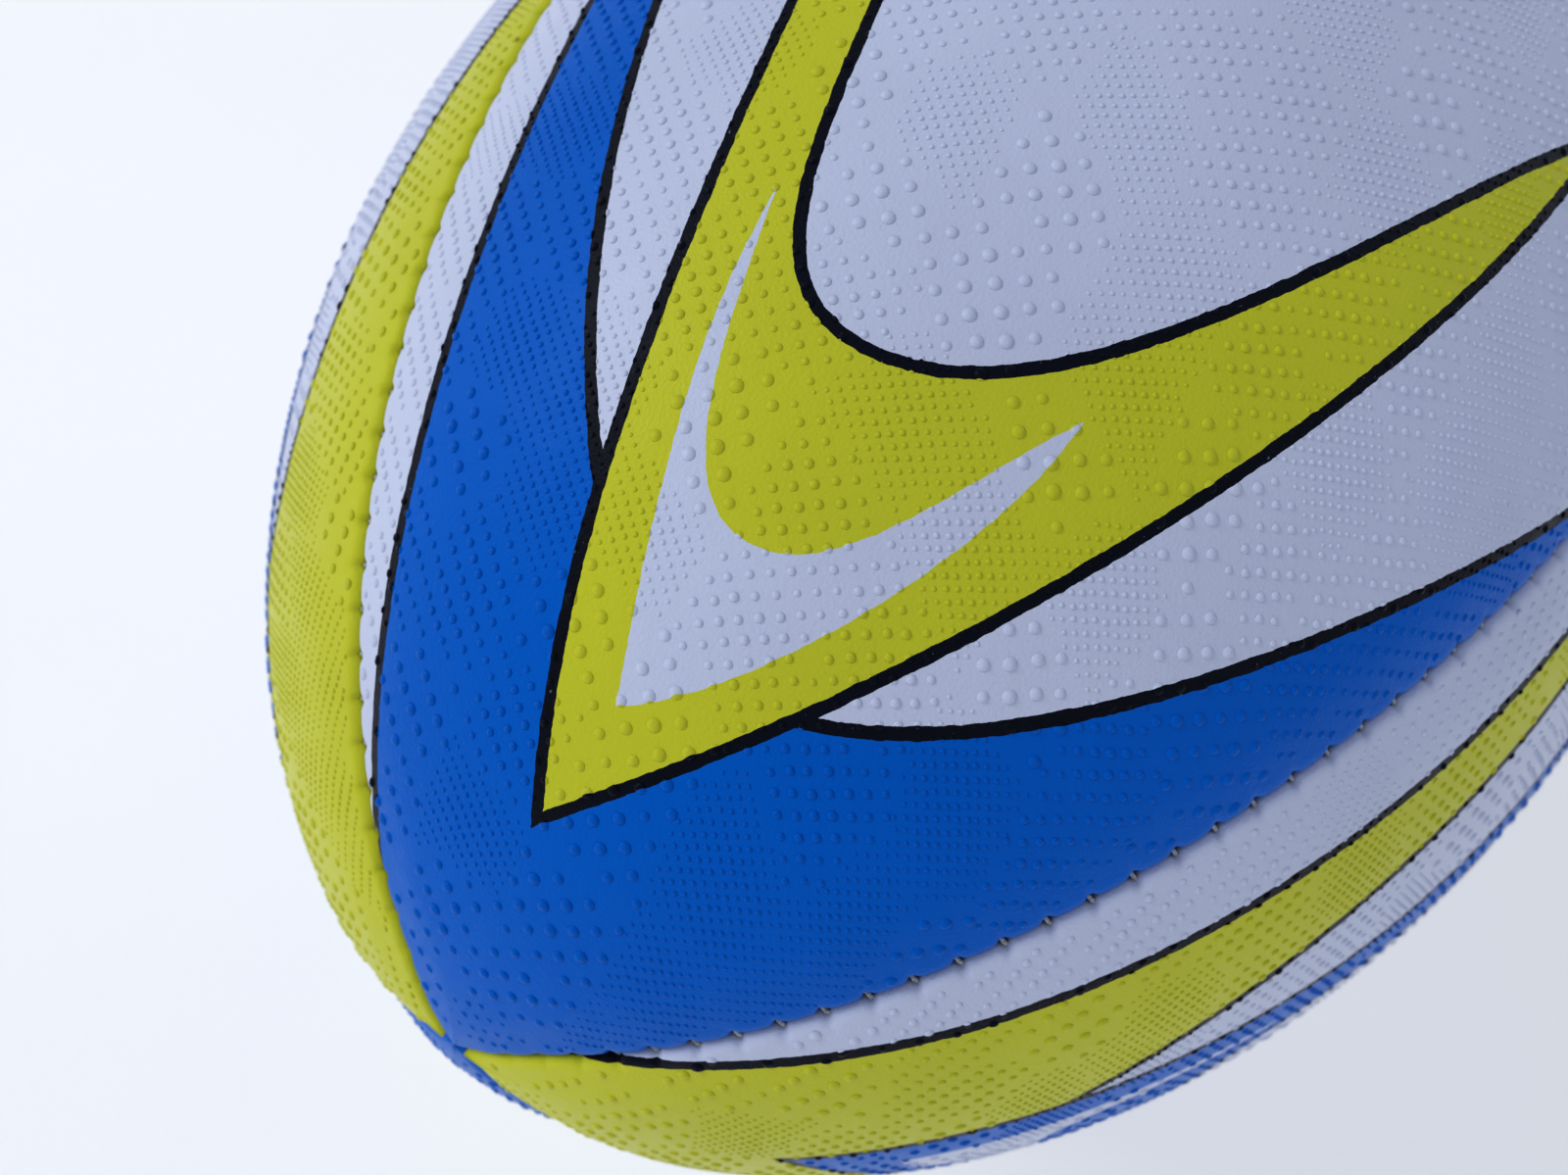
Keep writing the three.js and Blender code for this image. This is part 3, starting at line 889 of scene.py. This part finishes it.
def make_covers():
    """The four covers. Their print and their depths are worked out with the panel back at +Z."""
    made = {
        wide: panel_layer(cover_stations(wide), COVER_DEPTHS, wide, *COVER_STEPS, True)
        for wide in (True, False)
    }
    for name, (angle, wide) in PANELS.items():
        colour = "blue" if wide else "lime"
        points, faces = made[wide]
        item = new_object(f"cover_{name}", points, faces, PRINTS[colour])
        turn_to_panel(item, angle)
        if name == "left":
            cut_valve_hole(item, VALVE_HOLE_RADIUS)
        here = mesh_points(item.data)
        back = np.column_stack([
            here[:, 0],
            here[:, 1] * math.cos(angle) - here[:, 2] * math.sin(angle),
            here[:, 1] * math.sin(angle) + here[:, 2] * math.cos(angle),
        ])
        add_print(item.data, back)
        add_numbers(item.data, "below_surface", depth_below_surface(back))
        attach(item, "ball")
        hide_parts(f"cover_panel_{name}")


def make_pimples():
    """Three sizes of pimples on each panel. The left one has none round the valve."""
    for wide in (True, False):
        sites = pimple_sites(wide)
        colour = "blue" if wide else "lime"
        for kind, spots in sites.items():
            for name, (angle, panel_wide) in PANELS.items():
                if panel_wide != wide:
                    continue
                here = spots
                if name == "left":
                    off_valve = np.hypot(spots[:, 0] - TIP_TO_TIP / 2, spots[:, 1]) > PIMPLE_VALVE_GAP
                    here = spots[off_valve]
                points, faces, foot, raised = pimples(here, kind)
                item = new_object(
                    f"pimples_{kind}_{name}", points, faces.tolist(), PRINTS[colour], foot.tolist()
                )
                add_print(item.data, points)
                add_numbers(item.data, "pimple_top", raised)
                add_numbers(item.data, "pimple_rim", 1 - raised)
                turn_to_panel(item, angle)
                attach(item, "ball")


def make_plies():
    """Two cloth layers under each cover."""
    for layer, depths in (("outer", OUTER_PLY_DEPTHS), ("inner", INNER_PLY_DEPTHS)):
        for name, (angle, wide) in PANELS.items():
            stations = ply_stations(wide)
            points, faces = panel_layer(stations, depths, wide, *PLY_STEPS, False)
            item = new_object(f"{layer}_ply_cloth_{name}", points, faces, CLOTH)
            turn_to_panel(item, angle)
            if name == "left":
                cut_valve_hole(item, VALVE_HOLE_RADIUS)
            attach(item, "ball")
            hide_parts(f"{layer}_ply_{name}")


# ------------------------------------------------------------------ thread

THREAD_RADIUS = 0.22
THREAD_LOOP = 0.78
THREAD_MIDDLE_DEPTH = 2.3
THREAD_TIP_SINK = 0.7
THREAD_LEAN = 0.72
THREAD_TWIST_PITCH = 1.1
THREAD_TWIST_DEPTH = 0.14
THREAD_STEPS = 20
THREAD_SIDES = 8

# name: (angle of the wide panel beside the seam, which side of it the seam is on)
SEAMS = {
    "top_left": (0.0, 1),
    "left_bottom": (math.pi, -1),
    "bottom_right": (math.pi, 1),
    "right_top": (0.0, -1),
}


def thread_path():
    """Points of the thread's middle for a seam beside a wide panel at +Z, on its +Y side."""
    turn = np.arange(-0.5 * THREAD_STEPS, THREAD_STEPS * (len(STITCHES) - 0.5) + 1)
    turn = turn * 2 * math.pi / THREAD_STEPS
    along = STITCHES[0] + STITCH_STEP * (turn - THREAD_LEAN * np.sin(turn)) / (2 * math.pi)
    offset = THREAD_LOOP * np.sin(turn)
    depth = THREAD_MIDDLE_DEPTH - THREAD_LOOP * np.cos(turn)
    depth = depth + THREAD_TIP_SINK * (1 - stitch_pull(along))
    reach = outline(along)[1] - depth * outline(along)[3]
    angle = angle_beside_seam(along, 0.0, depth, True) + offset / reach
    return place(along, angle, depth)


def tube(path, radius, sides):
    """A closed tube of two twisted strands along a path."""
    forward = np.gradient(path, axis=0)
    length = np.concatenate([[0], np.cumsum(np.linalg.norm(np.diff(path, axis=0), axis=1))])
    forward /= np.linalg.norm(forward, axis=1)[:, None]
    up = path - forward * np.einsum("ij,ij->i", path, forward)[:, None]
    up /= np.linalg.norm(up, axis=1)[:, None]
    side = np.cross(forward, up)
    turn = np.arange(sides) * 2 * math.pi / sides
    twist = np.cos(2 * (turn[None] - 2 * math.pi * length[:, None] / THREAD_TWIST_PITCH))
    size = radius * (1 + THREAD_TWIST_DEPTH * twist)[..., None]
    ring = np.cos(turn)[None, :, None] * up[:, None] + np.sin(turn)[None, :, None] * side[:, None]
    points = path[:, None] + size * ring
    rings = len(path)
    faces = []
    for row in range(rings - 1):
        for column in range(sides):
            after = (column + 1) % sides
            base, upper = row * sides, (row + 1) * sides
            faces.append([base + column, base + after, upper + after, upper + column])
    faces.append(list(range(sides - 1, -1, -1)))
    faces.append(list(range((rings - 1) * sides, rings * sides)))
    return points.reshape(-1, 3), faces


def make_threads():
    """One thread to a seam. Those on a wide panel's -Y side are mirror images."""
    points, faces = tube(thread_path(), THREAD_RADIUS, THREAD_SIDES)
    for name, (angle, side) in SEAMS.items():
        if side > 0:
            item = new_object(f"stitching_{name}", points, faces, THREAD)
        else:
            mirrored = [face[::-1] for face in faces]
            item = new_object(f"stitching_{name}", points * (1, -1, 1), mirrored, THREAD)
        turn_to_panel(item, angle)
        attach(item, "ball")
        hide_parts(f"seam_thread_{name}")


# ------------------------------------------------------------------ bladder

BLADDER_DEPTH = 3.4
BLADDER_WALL = 1.0
BLADDER_FOLD_DEPTH = 8.0
BLADDER_FOLD = (3.8, 8.5)
BLADDER_TIP_DEPTH = 9.0
BLADDER_TIP = (10.0, 32.0)
BLADDER_ROWS = 120
BLADDER_COLUMNS = 192


def bladder_skin(wall):
    """Rows of points on the bladder's skin, `wall` millimetres in from its outside.

    The skin folds down under the seams and at the tips.
    """
    turn = np.linspace(0, math.pi, BLADDER_ROWS + 2)[1:-1]
    along = (TIP_TO_TIP * (1 - np.cos(turn)) / 2)[:, None]
    angle = (np.arange(BLADDER_COLUMNS) * 2 * math.pi / BLADDER_COLUMNS)[None]
    radius = outline(along)[1]
    from_diagonal = np.abs((angle % (math.pi / 2)) - math.pi / 4)
    from_seam = np.maximum(radius * np.sin(from_diagonal) - seam_shift(along), 0)
    fold = 1 - smooth(*BLADDER_FOLD, from_seam)
    tip = 1 - smooth(*BLADDER_TIP, from_nearer_tip(along))
    depth = np.maximum(
        BLADDER_DEPTH + (BLADDER_FOLD_DEPTH - BLADDER_DEPTH) * fold,
        BLADDER_DEPTH + (BLADDER_TIP_DEPTH - BLADDER_DEPTH) * tip,
    )
    return place(along + 0 * angle, angle + 0 * along, depth + wall)


def make_bladder():
    """The bag: an outer and an inner skin, joined where the valve's hole is cut through both."""
    points, faces = [], []
    for wall, inside in ((0.0, False), (BLADDER_WALL, True)):
        skin = bladder_skin(wall)
        first = len(points)
        points += skin.reshape(-1, 3).tolist()
        ends = [skin[0].mean(0), skin[-1].mean(0)]
        points += [end.tolist() for end in ends]
        poles = (len(points) - 2, len(points) - 1)
        made = []
        for column in range(BLADDER_COLUMNS):
            after = (column + 1) % BLADDER_COLUMNS
            for row in range(BLADDER_ROWS - 1):
                base, upper = first + row * BLADDER_COLUMNS, first + (row + 1) * BLADDER_COLUMNS
                made.append([base + column, upper + column, upper + after, base + after])
            last = first + (BLADDER_ROWS - 1) * BLADDER_COLUMNS
            made.append([poles[0], first + column, first + after])
            made.append([last + column, poles[1], last + after])
        faces += [face[::-1] for face in made] if inside else made
    item = new_object("bladder_skin", np.array(points), faces, BLADDER_RUBBER)
    cut_valve_hole(item, BLADDER_VALVE_HOLE)
    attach(item, "ball")
    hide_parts("bladder")


# ------------------------------------------------------------------ valve

VALVE_HOLE_RADIUS = 4.8
BLADDER_VALVE_HOLE = 3.6
LATHE_SIDES = 72
FILLET_STEPS = 4
LARGEST_FILLET_SHARE = 0.45

# Outlines as (radius, depth below the valve's face, fillet radius) in millimetres, round the solid.
VALVE_BODY = (
    (3.3, 0.0, 0.25), (4.5, 0.0, 0.45), (4.5, 3.9, 0.4), (10.5, 4.4, 0.25), (10.5, 5.9, 0.3),
    (4.5, 5.9, 0.4), (4.5, 19.7, 0.6), (3.5, 21.7, 0.5), (2.4, 21.7, 0.2), (2.4, 1.6, 0.2),
    (3.3, 1.6, 0.2),
)
PATCH_RING = ((4.8, 2.3, 0.1), (10.5, 2.3, 0.2), (10.5, 2.8, 0.1), (4.8, 2.8, 0.1))
PLUG = (
    (0.4, 0.35, 0.3), (3.0, 0.2, 0.35), (3.0, 1.4, 0.2), (2.2, 1.4, 0.15),
    (2.2, 19.7, 0.5), (0.4, 19.7, 0.1),
)


def rounded(outline_corners):
    """The outline's points with each corner rounded by its own fillet radius."""
    corners = np.array(outline_corners)
    points = []
    for here, before, after in zip(corners, np.roll(corners, 1, 0), np.roll(corners, -1, 0)):
        to_before = (before - here)[:2]
        to_after = (after - here)[:2]
        room = min(np.hypot(*to_before), np.hypot(*to_after)) * LARGEST_FILLET_SHARE
        cut = min(here[2], room)
        start = here[:2] + to_before / np.hypot(*to_before) * cut
        end = here[:2] + to_after / np.hypot(*to_after) * cut
        for share in np.linspace(0, 1, FILLET_STEPS + 1):
            points.append(
                (1 - share) ** 2 * start + 2 * (1 - share) * share * here[:2] + share ** 2 * end
            )
    return np.array(points)


def lathe(name, outline_corners, node, material, body):
    """A closed ring turned about the valve's axis, which points along +Y."""
    low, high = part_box("valve_body")
    axis_x, face_y, axis_z = (low[0] + high[0]) / 2 / MM, high[1] / MM, (low[2] + high[2]) / 2 / MM
    profile = rounded(outline_corners)
    turn = np.arange(LATHE_SIDES) * 2 * math.pi / LATHE_SIDES
    points = np.stack([
        axis_x + profile[:, :1] * np.cos(turn),
        face_y - profile[:, 1:] + 0 * turn,
        axis_z + profile[:, :1] * np.sin(turn),
    ], -1).reshape(-1, 3)
    faces = []
    for row in range(len(profile)):
        next_row = (row + 1) % len(profile)
        for column in range(LATHE_SIDES):
            after = (column + 1) % LATHE_SIDES
            faces.append([
                row * LATHE_SIDES + column, row * LATHE_SIDES + after,
                next_row * LATHE_SIDES + after, next_row * LATHE_SIDES + column,
            ])
    item = new_object(name, points, faces, material)
    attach(item, body)
    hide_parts(node)


def make_valve():
    """The valve's housing and patch ride with the ball, and the stopper with its own body."""
    lathe("valve_housing", VALVE_BODY, "valve_body", VALVE_RUBBER, "ball")
    lathe("valve_patch_ring", PATCH_RING, "valve_patch", PATCH_RUBBER, "ball")
    lathe("valve_stopper", PLUG, "valve_plug", PLUG_RUBBER, "valve_plug")


# ------------------------------------------------------------------ room, light and camera

CAMERA_PLACE = Vector((-174.6, -18.1, 133.2)) * MM
CAMERA_HEADING = math.radians(13.23)
CAMERA_PITCH = math.radians(-51.77)
CAMERA_ROLL = math.radians(25.02)
CAMERA_LENS = 28.28
CAMERA_FOCUS = Vector((-95.0, 10.0, 70.0)) * MM
CAMERA_F_STOP = 22.0

FLOOR_SIZE = 40.0
FLOOR_GAP = 0.5
WORLD_COLOUR = (0.80, 0.86, 1.0, 1)
WORLD_STRENGTH = 0.38
BACKDROP_COLOUR = (0.76, 0.78, 0.83, 1)


def make_camera():
    """A close, wide-angle camera above the tip at -X, focused on the panel it looks along."""
    data = bpy.data.cameras.new("photo_camera")
    camera = bpy.data.objects.new("photo_camera", data)
    bpy.context.scene.collection.objects.link(camera)
    view = Vector((
        math.cos(CAMERA_PITCH) * math.cos(CAMERA_HEADING),
        math.cos(CAMERA_PITCH) * math.sin(CAMERA_HEADING),
        math.sin(CAMERA_PITCH),
    ))
    level = Vector((math.sin(CAMERA_HEADING), -math.cos(CAMERA_HEADING), 0))
    right = level * math.cos(CAMERA_ROLL) + level.cross(view) * math.sin(CAMERA_ROLL)
    turned = Matrix((right, right.cross(view), -view)).transposed()
    camera.matrix_world = Matrix.Translation(CAMERA_PLACE) @ turned.to_4x4()
    data.lens = CAMERA_LENS
    data.sensor_width = 36.0
    data.clip_start = 0.005
    focus = bpy.data.objects.new("focus_point", None)
    focus.location = CAMERA_FOCUS
    bpy.context.scene.collection.objects.link(focus)
    data.dof.use_dof = True
    data.dof.focus_object = focus
    data.dof.aperture_fstop = CAMERA_F_STOP
    bpy.context.scene.camera = camera


def add_light(name, towards, softness, strength, colour):
    """A large, distant, soft light that shines on the ball from a direction."""
    data = bpy.data.lights.new(name, "SUN")
    data.angle = math.radians(softness)
    data.energy = strength
    data.color = colour
    light = bpy.data.objects.new(name, data)
    light.rotation_euler = Vector(towards).to_track_quat("Z", "Y").to_euler()
    bpy.context.scene.collection.objects.link(light)


def studio_world(name):
    """Soft light from all round. The camera itself sees a paler backdrop."""
    world = bpy.data.worlds.new(name)
    world.use_nodes = True
    tree = world.node_tree
    light = tree.nodes["Background"]
    light.inputs["Color"].default_value = WORLD_COLOUR
    light.inputs["Strength"].default_value = WORLD_STRENGTH
    backdrop = tree.nodes.new("ShaderNodeBackground")
    backdrop.inputs["Color"].default_value = BACKDROP_COLOUR
    seen = tree.nodes.new("ShaderNodeLightPath")
    choice = tree.nodes.new("ShaderNodeMixShader")
    tree.links.new(seen.outputs["Is Camera Ray"], choice.inputs[0])
    tree.links.new(light.outputs[0], choice.inputs[1])
    tree.links.new(backdrop.outputs[0], choice.inputs[2])
    tree.links.new(choice.outputs[0], tree.nodes["World Output"].inputs["Surface"])
    return world


def make_room():
    """A wide pale floor just below the ball, with soft light from three sides and all round."""
    bpy.ops.mesh.primitive_plane_add(size=FLOOR_SIZE, location=(0, 0, CAD_LOW[2] - FLOOR_GAP * MM))
    floor = bpy.context.object
    floor.name = "studio_floor"
    floor.data.materials.append(painted_floor("floor_paint"))
    bpy.context.scene.world = studio_world("studio")
    add_light("key_light", (-0.36, 0.78, 0.50), 26, 1.25, (0.92, 0.94, 1.0))
    add_light("fill_light", (-0.5, -0.9, 0.4), 50, 0.2, (0.97, 0.95, 1.0))
    add_light("back_light", (0.9, -0.5, 0.5), 50, 0.12, (0.95, 0.96, 1.0))
    bpy.context.scene.view_settings.view_transform = "Standard"
    bpy.context.scene.view_settings.look = "Medium High Contrast"


make_covers()
make_pimples()
make_plies()
make_threads()
make_bladder()
make_valve()
make_room()
make_camera()
